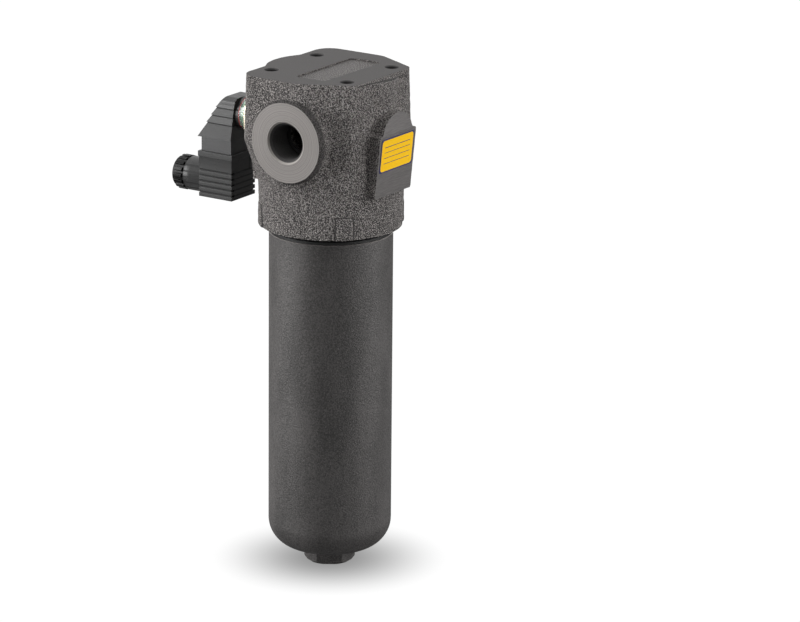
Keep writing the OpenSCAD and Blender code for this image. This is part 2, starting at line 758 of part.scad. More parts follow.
module contact_base() {
    color([0.07, 0.07, 0.07]) difference() {
        union() {
            translate([-plug_x - base_w / 2, -base_w / 2, plug_z]) cube([base_w, base_w, base_h]);
            translate([-plug_x - 7.8, -8.8, plug_z + base_h - 1]) cube([15.6, 17.6, 4]);
        }
        translate([-plug_x, 0, plug_z - 1]) cylinder(r = 1.6, h = base_h);
        at_blades() translate([-blade_t / 2 - 0.02, -blade_w / 2 - 0.02, plug_z - 1])
            cube([blade_t + 0.04, blade_w + 0.04, base_h + 6]);
    }
}

// Four places round the plug's axis
module at_blades() {
    translate([-plug_x, 0, 0]) for (a = [0:90:270]) rotate([0, 0, a]) translate([blade_offset, 0, 0])
        children();
}

module contact_blades() {
    color([0.78, 0.76, 0.70]) at_blades()
        translate([-blade_t / 2, -blade_w / 2, plug_z - blade_l])
            cube([blade_t, blade_w, blade_l + base_h + 2]);
}

// Plug

module plug_housing() {
    half = plug_w / 2;
    groove = rib_pitch * 0.3;
    color([0.09, 0.09, 0.09]) difference() {
        union() {
            translate([-plug_x - half, -half, plug_foot_z]) cube([plug_w, plug_w, plug_h]);
            translate([-plug_x - half - 0.5, -half - 0.5, plug_z - 3.8]) cube([plug_w + 1, plug_w + 1, 3.8]);
            at_gland(0) cylinder(r = gland_r, h = gland_l);
            at_gland(0) cylinder(r = gland_r - 2.4, h = gland_l + nut_l - 5);
        }
        translate([-plug_x - half + shell, -half + shell, plug_foot_z + shell])
            cube([plug_w - 2 * shell, plug_w - 2 * shell, plug_h]);
        for (i = [1:rib_count]) translate([-plug_x, 0, plug_foot_z + rib_pitch * i - groove]) {
            for (side = [-1, 1]) translate([-half - 2, side * (half + 1 - rib_depth) - 1, 0])
                cube([plug_w + 4, 2, groove]);
            for (side = [-1, 1]) translate([half - rib_depth, side * (half - 1.5) - 1.5, 0])
                cube([2, 3, groove]);
        }
        translate([-plug_x + half - 0.4, -4, plug_z - 13.5]) cube([1, 12, 9]);
        at_gland(-shell - 1) cylinder(r = cable_r + 1.5, h = gland_l + shell + 2);
        at_gland(gland_l - 1) cylinder(r = gland_r - 4.4, h = nut_l);
        translate([-plug_x, 0, plug_foot_z - 1]) cylinder(r = 1.7, h = shell + 2);
        translate([-plug_x, 0, plug_foot_z - 1]) cylinder(r = 3.3, h = 1.8);
    }
}

// Child drawn along +Z, laid along the gland's axis from the plug's left face outward
module at_gland(d) {
    translate([-plug_x - plug_w / 2 - d, 0, plug_foot_z + gland_z]) rotate([0, -90, 0]) children();
}

module plug_gasket() {
    side = plug_w - 2 * shell - 0.4;
    color([0.20, 0.20, 0.20]) difference() {
        translate([-plug_x - side / 2, -side / 2, plug_z - gasket_t]) cube([side, side, gasket_t]);
        translate([-plug_x - side / 2 + 1.8, -side / 2 + 1.8, plug_z - 2]) cube([side - 3.6, side - 3.6, 3]);
    }
}

module terminal_block() {
    side = plug_w - 2 * shell - 0.4;
    color([0.12, 0.12, 0.12]) difference() {
        translate([-plug_x - side / 2, -side / 2, plug_z - gasket_t - terminal_h])
            cube([side, side, terminal_h]);
        translate([-plug_x, 0, plug_z - 30]) cylinder(r = 1.7, h = 40);
        at_blades() translate([-2, -blade_w / 2 - 0.8, plug_z - terminal_h]) cube([4, blade_w + 1.6, 20]);
        at_blades() translate([0, 0, plug_z - terminal_h - 5]) cylinder(r = 1.9, h = 10, $fn = 24);
    }
}

module terminal_sockets() {
    color([0.75, 0.68, 0.45]) at_blades() difference() {
        translate([-1.9, -blade_w / 2 - 0.7, plug_z - terminal_h + 0.1])
            cube([3.8, blade_w + 1.4, terminal_h - 2.1]);
        translate([-blade_t / 2 - 0.3, -blade_w / 2 - 0.3, plug_z - terminal_h + 2])
            cube([blade_t + 0.6, blade_w + 0.6, 20]);
    }
}

module terminal_screws() {
    foot = plug_z - gasket_t - terminal_h - 0.9;
    color([0.75, 0.74, 0.70]) at_blades() translate([0, 0, foot]) difference() {
        cylinder(r = 1.7, h = 2.4, $fn = 24);
        translate([-2, -0.3, -1]) cube([4, 0.6, 1.6]);
    }
}

module plug_screw() {
    color([0.75, 0.74, 0.70]) translate([-plug_x, 0, plug_foot_z + 0.8]) difference() {
        union() {
            translate([0, 0, -1.6]) cylinder(r = 3.1, h = 1.6);
            cylinder(r = 1.5, h = plug_h + base_h - 4);
        }
        translate([-4, -0.4, -3]) cube([8, 0.8, 2]);
    }
}

// Cable gland

module gland_seal() {
    color([0.15, 0.15, 0.15]) at_gland(gland_l - 0.8) ring(gland_r - 4.5, cable_r, nut_l - 5.6);
}

module gland_washer() {
    color([0.70, 0.70, 0.72]) at_gland(gland_l + nut_l - 6.4) ring(gland_r - 4.5, cable_r + 0.3, 1.2);
}

module gland_nut() {
    color([0.08, 0.08, 0.08]) difference() {
        at_gland(gland_l + 0.3) {
            cylinder(r = nut_r - 1.3, h = nut_l - 0.3);
            translate([0, 0, 1]) for (i = [0:nut_ribs - 1]) rotate([0, 0, 360 * i / nut_ribs])
                translate([nut_r - 2, -1.2, 0]) cube([2, 2.4, nut_l - 3]);
        }
        at_gland(gland_l - 1) cylinder(r = gland_r - 2.3, h = nut_l - 3.1);
        at_gland(gland_l - 1) cylinder(r = cable_r + 1.5, h = nut_l + 3);
    }
}

head();
spigot();
bypass_poppet();
bypass_spring();
label();
bowl();
bowl_oring();
bowl_backup_ring();
element_top_cap();
element_oring();
element_core();
element_media();
element_bottom_cap();
indicator_body();
indicator_seal();
indicator_nose_oring();
indicator_piston();
indicator_magnet();
indicator_spring();
indicator_band();
indicator_window();
window_seal();
elbow_housing();
reed_switch();
contact_base();
contact_blades();
plug_housing();
plug_gasket();
terminal_block();
terminal_sockets();
terminal_screws();
plug_screw();
gland_seal();
gland_washer();
gland_nut();
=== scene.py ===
import json
import math

import bmesh
import bpy
import numpy as np
from mathutils import Matrix, Vector, noise


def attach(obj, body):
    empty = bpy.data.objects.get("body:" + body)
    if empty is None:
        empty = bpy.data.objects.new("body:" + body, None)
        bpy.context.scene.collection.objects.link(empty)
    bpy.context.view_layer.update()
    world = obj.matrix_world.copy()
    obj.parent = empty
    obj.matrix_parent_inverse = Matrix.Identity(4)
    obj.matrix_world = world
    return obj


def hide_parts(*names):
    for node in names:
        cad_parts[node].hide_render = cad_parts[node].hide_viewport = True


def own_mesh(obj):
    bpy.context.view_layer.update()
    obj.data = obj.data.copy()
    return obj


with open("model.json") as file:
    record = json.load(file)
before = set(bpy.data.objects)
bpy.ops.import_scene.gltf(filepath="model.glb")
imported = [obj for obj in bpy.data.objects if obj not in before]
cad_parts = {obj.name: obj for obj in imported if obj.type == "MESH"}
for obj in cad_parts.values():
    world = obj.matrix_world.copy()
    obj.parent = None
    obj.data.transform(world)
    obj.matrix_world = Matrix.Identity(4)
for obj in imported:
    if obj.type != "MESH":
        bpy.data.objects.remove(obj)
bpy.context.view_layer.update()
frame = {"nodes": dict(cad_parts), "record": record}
nodes = frame["nodes"]


# The room: a white floor and backdrop, a large soft lamp on each side of the camera, two weak ones
# above it, and the camera. The bowl's dark middle and bright flanks come from the two side lamps.

class Wire:
    """One output of a node. Sums on it add Math nodes, and its methods add other nodes."""

    def __init__(self, tree, socket=None):
        self.tree = tree
        self.socket = socket

    def node(self, kind, settings=(), inputs=(), out=0):
        """An output of a new node, given its settings and the values or links of its inputs."""
        made = self.tree.nodes.new("ShaderNode" + kind)
        for name, value in dict(settings).items():
            setattr(made, name, value)
        for name, value in dict(inputs).items():
            if isinstance(value, Wire):
                self.tree.links.new(value.socket, made.inputs[name])
            else:
                made.inputs[name].default_value = value
        return Wire(self.tree, made.outputs[out]) if made.outputs else None

    def beside(self, name):
        """Another output of the same node."""
        return Wire(self.tree, self.socket.node.outputs[name])

    def math(self, operation, *terms):
        return self.node("Math", {"operation": operation}, dict(enumerate(terms)))

    def __add__(self, other):
        return self.math("ADD", self, other)

    def __sub__(self, other):
        return self.math("SUBTRACT", self, other)

    def __rsub__(self, other):
        return self.math("SUBTRACT", other, self)

    def __mul__(self, other):
        return self.math("MULTIPLY", self, other)

    def __pow__(self, other):
        return self.math("POWER", self, other)

    def __or__(self, other):
        return self.math("MAXIMUM", self, other)

    def __abs__(self):
        return self.math("ABSOLUTE", self)

    __radd__ = __add__
    __rmul__ = __mul__

    def step(self, low, high):
        """0 below low, 1 above high, smooth between them."""
        return self.node("MapRange", {"interpolation_type": "SMOOTHSTEP"},
                         {"Value": self, "From Min": low, "From Max": high,
                          "To Min": 0.0, "To Max": 1.0})

    def between(self, low, high, soft):
        """1 from low to high, and 0 further off than the soft distance."""
        return self.step(low - soft, low) * (1 - self.step(high, high + soft))

    def shade(self, low, high):
        """This mask as a colour, from low where it is 0 to high where it is 1."""
        start_colour = low if isinstance(low, Wire) else (*low, 1.0)
        return self.node("Mix", {"data_type": "RGBA"},
                         {0: self, 6: start_colour, 7: (*high, 1.0)}, out=2)

    def axes(self):
        """The three parts of a vector."""
        first = self.node("SeparateXYZ", (), {0: self})
        return first, first.beside(1), first.beside(2)

    def noise(self, scale, detail, roughness):
        return self.node("TexNoise", (), {"Vector": self, "Scale": scale, "Detail": detail,
                                          "Roughness": roughness})

    def stretch(self, x, y, z):
        return self.node("VectorMath", {"operation": "MULTIPLY"}, {0: self, 1: (x, y, z)})

    def bump(self, distance, strength):
        return self.node("Bump", (), {"Height": self, "Distance": distance, "Strength": strength})


def start(name):
    """The point on the object, in metres, that a material's maths starts from, and the material."""
    made = bpy.data.materials.new(name)
    made.use_nodes = True
    made.node_tree.nodes.clear()
    return Wire(made.node_tree).node("TexCoord", out="Object"), made


def surface(shader):
    """Ends a material in the given shader."""
    shader.node("OutputMaterial", (), {"Surface": shader})


def finish(place, **sockets):
    """Ends a material in a Principled shader. An underscore stands for a space in its inputs."""
    inputs = {name.replace("_", " "): value for name, value in sockets.items()}
    surface(place.node("BsdfPrincipled", (), inputs))


def away(first, second):
    """The distance from an axis, from the distances along the two others."""
    return (first * first + second * second) ** 0.5


scene = bpy.context.scene
scene.view_settings.view_transform = "Standard"

# The camera's turn, its place and its focal length in pixels are those of the photograph's camera.
azimuth, elevation, roll = math.radians(33.58), math.radians(16.18), math.radians(0.503)
aim = Vector((0, 0, 0.180))
distance, shift_right, shift_down = 3.303, 0.046984, 0.003282
focal_pixels, photo_width, sensor_width = 4874.9, 800.0, 36.0

back = Vector((math.sin(azimuth) * math.cos(elevation), -math.cos(azimuth) * math.cos(elevation),
               math.sin(elevation)))
right = Vector((math.cos(azimuth), math.sin(azimuth), 0.0))
up = back.cross(right)
eye = aim + distance * back + shift_right * right - shift_down * up
turned_right = math.cos(roll) * right + math.sin(roll) * up
turned_up = math.cos(roll) * up - math.sin(roll) * right

camera = bpy.data.objects.new("camera", bpy.data.cameras.new("camera"))
scene.collection.objects.link(camera)
scene.camera = camera
camera.data.sensor_width = sensor_width
camera.data.lens = focal_pixels * sensor_width / photo_width
camera.data.clip_start, camera.data.clip_end = 0.05, 100.0
camera.matrix_world = Matrix((
    (turned_right.x, turned_up.x, back.x, eye.x),
    (turned_right.y, turned_up.y, back.y, eye.y),
    (turned_right.z, turned_up.z, back.z, eye.z),
    (0.0, 0.0, 0.0, 1.0)))


def lamp(name, toward, distance, width, height, watts):
    """A soft rectangular lamp that shines at the middle of the filter from the given direction."""
    data = bpy.data.lights.new(name, "AREA")
    data.shape = "RECTANGLE"
    data.size, data.size_y, data.energy = width, height, watts
    light = bpy.data.objects.new(name, data)
    scene.collection.objects.link(light)
    toward = toward.normalized()
    light.location = Vector((0, 0, 0.2)) + distance * toward
    light.rotation_mode = "QUATERNION"
    light.rotation_quaternion = toward.to_track_quat("Z", "Y")


lamp("left_lamp", back * 0.18 - right + 0.20 * up, 1.3, 0.7, 1.3, 24.0)
lamp("right_lamp", back * 0.22 + right + 0.15 * up, 1.3, 0.7, 1.3, 17.0)
lamp("top_lamp", Vector((0, 0, 1)) - 0.3 * right - 0.2 * back, 1.4, 0.8, 0.8, 6.0)
lamp("front_lamp", back + 1.1 * up, 1.6, 0.7, 0.5, 3.0)

# The backdrop is white where it is seen, be it straight, through the window or in a shiny face,
# and it lights the filter only weakly.
seen_strength, lit_strength = 0.95, 0.05
world = bpy.data.worlds.new("backdrop")
scene.world = world
world.use_nodes = True
world.node_tree.nodes.clear()
rays = Wire(world.node_tree).node("LightPath", out="Is Camera Ray")
seen = rays | rays.beside("Is Transmission Ray") | rays.beside("Is Glossy Ray")
surroundings = rays.node("Background", (), {"Color": (1.0, 1.0, 1.0, 1.0),
                                            "Strength": seen * seen_strength + lit_strength})
rays.node("OutputWorld", (), {"Surface": surroundings})

# The floor is white to the camera and darkens to a painted soft shadow within 9 cm of the filter's
# foot. The shadow is a gradient in the floor's own colour, not one that the lamps cast. Its paint
# is what the lamps light.
shadow_near, shadow_far = 0.008, 0.088
shadow_grey, floor_bright, paint_grey = 0.31, 1.02, 0.30
floor_half = 20
floor_mesh = bpy.data.meshes.new("floor")
floor_mesh.from_pydata([(-floor_half, -floor_half, 0), (floor_half, -floor_half, 0),
                        (floor_half, floor_half, 0), (-floor_half, floor_half, 0)],
                       [], [(0, 1, 2, 3)])
floor = bpy.data.objects.new("floor", floor_mesh)
scene.collection.objects.link(floor)
place, floor_white = start("floor_white")
x, y, z = place.axes()
# Painted shadow: the floor's colour darkens nearer the filter's foot.
painted_foot_shadow = away(x, y).step(shadow_near, shadow_far)
glow = place.node("Emission", (), {
    "Color": painted_foot_shadow.shade((shadow_grey,) * 3, (floor_bright,) * 3)})
paint = place.node("BsdfDiffuse", (), {"Color": (paint_grey, paint_grey, paint_grey, 1.0)})
by_camera = place.node("LightPath", out="Is Camera Ray")
surface(place.node("MixShader", (), {0: by_camera, 1: paint, 2: glow}))
floor_mesh.materials.append(floor_white)


# The head: a grey iron sand casting with a coarse skin. Its port faces, threads, indicator seat,
# top face and inner ways are machined after casting, so they are smooth and their edges are crisp.

top_z, port_z, edge_z = 0.345, 0.3045, 0.2385
lean = math.atan2(0.0044, 0.043)
on_pad_face = Matrix.Translation((0.0496, 0, 0.266)) @ Matrix.Rotation(lean, 4, "Y")

# The sand skin. Shade is painted as dark lines round the skirt's four lugs, round each port's face
# and under the top edge on the right, and the panel sunk in the top face is a little darker.
line_blur = 0.0002
place, cast_iron = start("cast_iron")
x, y, z = place.axes()
relief = place.noise(1250.0, 1.0, 0.5)
clouds = place.noise(60.0, 3.0, 0.5)
speckle = relief.step(0.42, 0.63) * 0.88 + clouds * 0.12
across_lug = abs((abs(x) - abs(y)) * 0.7071)
# Painted shade: dark lines along the lugs' sides and tops, round each port's face and under the lip
# of the top edge on the right.
lug_side_shade = across_lug.between(0.0059, 0.0066, line_blur) * (1 - z.step(0.2537, 0.2542))
lug_top_shade = z.between(0.2538, 0.2544, line_blur) * (1 - across_lug.step(0.0064, 0.0068))
port_edge_shade = away(x, z - port_z).between(0.0272, 0.0286, 0.0005) * abs(y).step(0.0470, 0.0490)
ledge_shadow = (z + y * 0.040).between(0.3423, 0.3428, line_blur) * x.step(0.0395, 0.0400) \
    * y.between(-0.028, 0.024, 0.002)
sunk = x.between(-0.0062, 0.0172, 0.0003) * (1 - abs(y).step(0.0332, 0.0335)) \
    * z.step(0.3400, 0.3420)
# The painted shade and the sunk panel's darker tone, together.
dark = (lug_side_shade | lug_top_shade) * 0.9 | port_edge_shade * 0.75 | ledge_shadow * 0.95 | sunk * 0.4
bright = (speckle * (1 - dark)).shade((0.021, 0.019, 0.019), (0.375, 0.348, 0.333))
finish(place, Base_Color=bright, Metallic=0.35, Roughness=0.60 - speckle * 0.22,
       Normal=relief.bump(0.0024, 1.0))

# The port faces, with the fine rings that the facing tool leaves.
place, faced_iron = start("faced_iron")
x, y, z = place.axes()
port_radius = away(x, z - port_z)
rings = port_radius.node("TexNoise", {"noise_dimensions": "1D"},
                         {"W": port_radius, "Scale": 2600.0, "Detail": 1.0})
finish(place, Base_Color=rings.step(0.3, 0.7).shade((0.126, 0.117, 0.112), (0.224, 0.209, 0.198)),
       Metallic=0.5, Roughness=0.45, Normal=rings.bump(0.00005, 0.8))

# Milled and bored metal, with painted shade in the fixing holes and the ports and a painted
# highlight on each port's chamfer.
place, milled_iron = start("milled_iron")
x, y, z = place.axes()
grain = place.noise(1400.0, 2.0, 0.6)
port_radius = away(x, z - port_z)
# Painted shade inside the fixing holes and the ports.
hole_shade = abs(x).step(0.0240, 0.0245) * abs(y).step(0.0200, 0.0205) \
    * z.between(0.3200, 0.3446, line_blur)
port_shade = (1 - port_radius.step(0.0130, 0.0134)) * abs(y).step(0.0300, 0.0320)
# A painted highlight on each port's chamfer.
chamfer_highlight = port_radius.between(0.0136, 0.0146, line_blur) * abs(y).step(0.0525, 0.0530)
clear = grain.step(0.3, 0.7).shade((0.044, 0.041, 0.040), (0.068, 0.064, 0.063))
lit = chamfer_highlight.shade(clear, (0.34, 0.32, 0.30))
finish(place, Base_Color=(hole_shade | port_shade * 0.6).shade(lit, (0.012, 0.011, 0.011)),
       Metallic=0.2, Roughness=0.70, Normal=grain.bump(0.00012, 0.5))

# The right pad and its boss, ground upright on a belt.
place, ground_iron = start("ground_iron")
belt = place.stretch(1.0, 0.05, 1.0).noise(2600.0, 2.0, 0.6)
finish(place, Base_Color=belt.step(0.3, 0.7).shade((0.116, 0.110, 0.108), (0.177, 0.167, 0.164)),
       Metallic=0.5, Roughness=0.42, Normal=belt.bump(0.00006, 0.7))

irons = (cast_iron, faced_iron, milled_iron, ground_iron)
cast, faced, milled, ground = range(len(irons))


def closed(name, points, faces, iron=cast):
    """A closed mesh object from its points and faces, all of them in one of the head's irons."""
    mesh = bpy.data.meshes.new(name)
    mesh.from_pydata([tuple(point) for point in points], [], faces)
    for material in irons:
        mesh.materials.append(material)
    for face in mesh.polygons:
        face.material_index = iron
    made = bpy.data.objects.new(name, mesh)
    scene.collection.objects.link(made)
    return made


def along(origin, direction):
    """The place of a tool whose own Z runs along the direction from the origin."""
    turn = Vector(direction).to_track_quat("Z", "Y").to_matrix().to_4x4()
    return Matrix.Translation(origin) @ turn


def turning(name, rows, iron=cast, placed=Matrix(), sides=96):
    """A solid of revolution through rows of (station, radius), where a radius may be a function
    of the angle."""
    points = []
    for station, radius in rows:
        for i in range(sides):
            angle = 2 * math.pi * i / sides
            r = radius(angle) if callable(radius) else radius
            points.append(placed @ Vector((r * math.cos(angle), r * math.sin(angle), station)))
    last = (len(rows) - 1) * sides
    faces = [tuple(reversed(range(sides))), tuple(range(last, last + sides))]
    for low in range(0, last, sides):
        high = low + sides
        for i in range(sides):
            k = (i + 1) % sides
            faces.append((low + i, low + k, high + k, high + i))
    return closed(name, points, faces, iron)


def thread_rows(first, last, pitch, root, crest):
    """Rows of a right-hand thread between two stations, from the radius between its ridges to
    that at their tops. It fades out over one pitch at each end."""
    rows_per_turn = 8
    count = round((last - first) / pitch * rows_per_turn)
    rows = []
    for j in range(count + 1):
        station = first + (last - first) * j / count
        fade = max(0.0, min(1.0, (station - first) / pitch, (last - station) / pitch))

        def radius(angle, station=station, fade=fade):
            turn = (station / pitch - angle / (2 * math.pi)) % 1.0
            ridge = min(1.0, max(0.0, 1.25 * abs(2 * turn - 1) - 0.125))
            return root + (crest - root) * ridge * fade
        rows.append((station, radius))
    return rows


def prism(name, outline, low, high, iron=cast):
    """An upright solid between two heights, with its outline given anticlockwise."""
    n = len(outline)
    points = [(px, py, low) for px, py in outline] + [(px, py, high) for px, py in outline]
    faces = [tuple(reversed(range(n))), tuple(range(n, 2 * n))]
    faces += [(i, (i + 1) % n, n + (i + 1) % n, n + i) for i in range(n)]
    return closed(name, points, faces, iron)


def block(name, low, high, iron=cast, placed=Matrix()):
    """A box between two opposite corners."""
    (x0, y0, z0), (x1, y1, z1) = low, high
    made = prism(name, [(x0, y0), (x1, y0), (x1, y1), (x0, y1)], z0, z1, iron)
    made.data.transform(placed)
    return made


def arc(centre, radius, first, last, count):
    """Points along an arc, from its first to its last angle in degrees."""
    angles = [math.radians(first + (last - first) * i / count) for i in range(count + 1)]
    return [(centre[0] + radius * math.cos(a), centre[1] + radius * math.sin(a)) for a in angles]


def rounded(x0, y0, x1, y1, radius, count):
    """The outline of a plate with round corners, which have their centres at the given places."""
    outline = []
    for cx, cy, first in ((x1, y1, 0), (x0, y1, 90), (x0, y0, 180), (x1, y0, 270)):
        outline += arc((cx, cy), radius, first, first + 90, count)
    return outline


def settle(body):
    """Gives the body the mesh that its modifiers make of it, and clears them."""
    shown = body.evaluated_get(bpy.context.evaluated_depsgraph_get())
    mesh = bpy.data.meshes.new_from_object(shown)
    body.modifiers.clear()
    body.data = mesh


def machine(body, tool, operation="DIFFERENCE"):
    """Takes the tool's shape off the body, or adds it, and removes the tool."""
    cut = body.modifiers.new("machine", "BOOLEAN")
    cut.solver, cut.operation, cut.object = "MANIFOLD", operation, tool
    settle(body)
    bpy.data.objects.remove(tool)


def sweep(body):
    """Removes the crumbs of a few points each that the cuts leave loose."""
    least = 100
    mesh = bmesh.new()
    mesh.from_mesh(body.data)
    unseen, crumbs = set(mesh.verts), []
    for vert in mesh.verts:
        if vert not in unseen:
            continue
        unseen.discard(vert)
        shell = [vert]
        for reached in shell:
            for edge in reached.link_edges:
                other = edge.other_vert(reached)
                if other in unseen:
                    unseen.discard(other)
                    shell.append(other)
        if len(shell) < least:
            crumbs += shell
    bmesh.ops.delete(mesh, geom=crumbs, context="VERTS")
    mesh.to_mesh(body.data)
    mesh.free()


def crisp(made, degrees=32):
    """Smooth shading, with every edge sharper than the angle kept sharp."""
    made.data.shade_smooth()
    made.data.set_sharp_from_angle(angle=math.radians(degrees))


# The pattern: the solid casting before anything is bored, made of the CAD head with stock on every
# face that is machined. The block's side slopes between two of the arcs that round its outline.
run, fall, shrink = 0.0315, 0.007, 0.008
slope = math.degrees(math.atan2(fall, run) + math.asin(shrink / math.hypot(fall, run)))
quarter = [*arc((0.0355, 0.0295), 0.006, 0, 90 - slope, 5),
           *arc((0.004, 0.0365), 0.014, 90 - slope, 90, 4),
           *arc((-0.028, 0.0385), 0.012, 90, 180, 10)]
outline = quarter + [(px, -py) for px, py in reversed(quarter)]
leftward, rightward = along((0, 0, port_z), (-1, 0, 0)), along((0, 0, port_z), (1, 0, 0))
stock = [
    prism("top_stock", outline, top_z - 0.004, top_z + 0.003),
    turning("left_bulge", [(top_z - 0.004, 0.0365), (top_z + 0.003, 0.0365)],
            placed=Matrix.Translation((-0.0095, 0, 0))),
    turning("skirt_stock", [(edge_z - 0.003, 0.048), (edge_z + 0.001, 0.048)]),
    turning("core_stock", [(edge_z - 0.003, 0.042), (top_z - 0.012, 0.034)]),
    block("hole_stock", (-0.0365, -0.032, port_z), (0.0365, 0.032, top_z - 0.001)),
    turning("seat_stock", [(0.02, 0.0239), (0.0505, 0.0239)], placed=leftward),
    turning("boss_stock", [(0.02, 0.0182), (0.0545, 0.0182)], placed=rightward),
    block("pad_stock", (-0.012, -0.0215, 0.0008), (0.0010, 0.0215, 0.0424), placed=on_pad_face),
]
for side in (-1, 1):
    stock.append(turning("port_stock", [(0.01, 0.020), (0.045, 0.020), (0.0500, 0.0271),
                                        (0.0565, 0.0271)],
                         placed=along((0, 0, port_z), (0, side, 0))))
pattern = bmesh.new()
pattern.from_mesh(nodes["head"].data)
bmesh.ops.remove_doubles(pattern, verts=pattern.verts, dist=1e-6)
for piece in stock:
    pattern.from_mesh(piece.data)
    bpy.data.objects.remove(piece)
casting = bpy.data.objects.new("casting", bpy.data.meshes.new("casting"))
pattern.to_mesh(casting.data)
pattern.free()
scene.collection.objects.link(casting)
skin = casting.modifiers.new("skin", "REMESH")
skin.mode, skin.voxel_size, skin.adaptivity = "VOXEL", 0.00095, 0.0
settle(casting)

# The sand rounds every edge, which two rounds of averaging do, and leaves the skin uneven.
rounds, pull = 2, 0.5
lump_heights, lump_scales = (0.00016, 0.00012), (260.0, 620.0)
mesh = casting.data
mesh.materials.clear()
for iron in irons:
    mesh.materials.append(iron)
count = len(mesh.vertices)
spots = np.empty(count * 3)
mesh.vertices.foreach_get("co", spots)
spots = spots.reshape(-1, 3)
ends = np.empty(len(mesh.edges) * 2, dtype=np.int64)
mesh.edges.foreach_get("vertices", ends)
ends = ends.reshape(-1, 2)
meeting = np.bincount(ends.ravel(), minlength=count)[:, None]
for _ in range(rounds):
    total = np.stack([np.bincount(ends[:, 0], spots[ends[:, 1], axis], count)
                      + np.bincount(ends[:, 1], spots[ends[:, 0], axis], count)
                      for axis in range(3)], 1)
    spots += pull * (total / meeting - spots)
mesh.vertices.foreach_set("co", spots.ravel())
mesh.update()
facing = np.empty(count * 3)
mesh.vertex_normals.foreach_get("vector", facing)
facing = facing.reshape(-1, 3)
lumps = np.array([sum(height * noise.noise(Vector(spot) * scale)
                      for height, scale in zip(lump_heights, lump_scales)) for spot in spots])
spots += facing * lumps[:, None]
mesh.vertices.foreach_set("co", spots.ravel())
mesh.update()

# The outer faces and the ports. Each thread is its pitch, the radius of its bore and the radius
# that its groove reaches.
wide = 0.08
port_bore = 0.01206
port_thread = 0.001814, port_bore, 0.01322
machine(casting, block("top_cut", (-wide, -wide, top_z), (wide, wide, top_z + 0.02), milled))
machine(casting, block("edge_cut", (-wide, -wide, edge_z - 0.02), (wide, wide, edge_z), milled))
for side, gallery_end in ((-1, 0.0165), (1, 0.0100)):
    outward = along((0, 0, port_z), (0, side, 0))
    machine(casting, turning("face_cut", [(0.054, 0.035), (0.065, 0.035)], faced, outward))
    machine(casting, turning("port_cut", [
        (0.0330, 0.0080), (0.0331, port_bore), *thread_rows(0.0345, 0.0514, *port_thread),
        (0.0516, 0.01222), (0.0541, 0.0147), (0.0600, 0.0147)], milled, outward, 72))
    machine(casting, turning("gallery_cut", [(gallery_end, 0.010), (0.0345, 0.010)],
                             placed=outward, sides=64))

# The inlet pocket, the bypass way over the spigot, and the bore that takes the bowl's thread and
# seals, with the chamber and the spigot's seat above it.
pocket_y = -0.0175
pocket_wall = [(px, py) for px, py in arc((0, 0), 0.031, -90 - 53.75, -90 + 53.75, 24)
               if py < pocket_y]
machine(casting, prism("inlet_pocket", [(0.025, pocket_y), (-0.025, pocket_y), *pocket_wall],
                       0.2875, 0.329))
machine(casting, turning("bypass_chamber", [(0.3175, 0.010), (0.329, 0.010)], sides=64))
machine(casting, block("bypass_way", (-0.010, -0.0185, 0.3175), (0.010, 0.0, 0.329)))
bowl_bore = 0.03812
bowl_thread = 0.002, bowl_bore, 0.0392
land, chamber, spigot_seat, valve_way = 0.0367, 0.0330, 0.0140, 0.0075
machine(casting, turning("bowl_bore", [
    (edge_z - 0.002, 0.0410), (edge_z - 0.0001, 0.0390), (edge_z + 0.0008, bowl_bore),
    *thread_rows(edge_z + 0.001, 0.2545, *bowl_thread),
    (0.2551, bowl_bore), (0.2562, land), (0.2664, land), (0.26641, chamber), (0.288, chamber),
    (0.28801, spigot_seat), (0.313, spigot_seat), (0.31301, valve_way), (0.3182, valve_way)],
    milled))

# The four fixing holes in the top, and the indicator's stepped bore with its two drillings.
fixing_bore = 0.00425
fixing_thread = 0.0015, fixing_bore, 0.0050
for px in (-0.0305, 0.0305):
    for py in (-0.0265, 0.0265):
        machine(casting, turning("fixing_cut", [
            (-0.0205, 0.0003), (-0.018, fixing_bore), (-0.0175, fixing_bore),
            *thread_rows(-0.0174, -0.0010, *fixing_thread),
            (-0.0009, 0.0043), (0.0001, 0.0052), (0.004, 0.0052)],
            milled, Matrix.Translation((px, py, top_z)), 40))
nose_bore, body_bore, drilling = 0.0061, 0.01005, 0.0015
machine(casting, turning("seat_cut", [(0.048, 0.024), (0.070, 0.024)], milled, leftward))
machine(casting, turning("indicator_cut", [
    (0.0185, nose_bore), (0.0310, nose_bore), (0.03101, body_bore), (0.0475, body_bore),
    (0.0490, 0.0115)], milled, leftward, 72))
machine(casting, turning("dirty_drilling", [(0.287, drilling), (port_z - 0.001, drilling)],
                         milled, Matrix.Translation((-0.0202, 0, 0)), 24))
machine(casting, turning("clean_drilling", [(0.009, drilling), (0.033, drilling)],
                         milled, along((0, 0.009, port_z), (-1, 0, 0)), 24))

# The panel sunk in the top, 1 mm deep, and the ground faces of the right pad and its boss.
machine(casting, prism("recess", rounded(-0.0025, -0.0295, 0.0135, 0.0295, 0.004, 8),
                       top_z - 0.001, top_z + 0.004))
machine(casting, block("pad_cut", (0.0, -0.0225, -0.0005), (0.012, 0.0225, 0.0440),
                       ground, on_pad_face))
machine(casting, block("boss_cut", (0.0535, -0.022, 0.3085), (0.062, 0.022, 0.327), ground))
sweep(casting)
crisp(casting)
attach(casting, "head")
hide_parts("head")
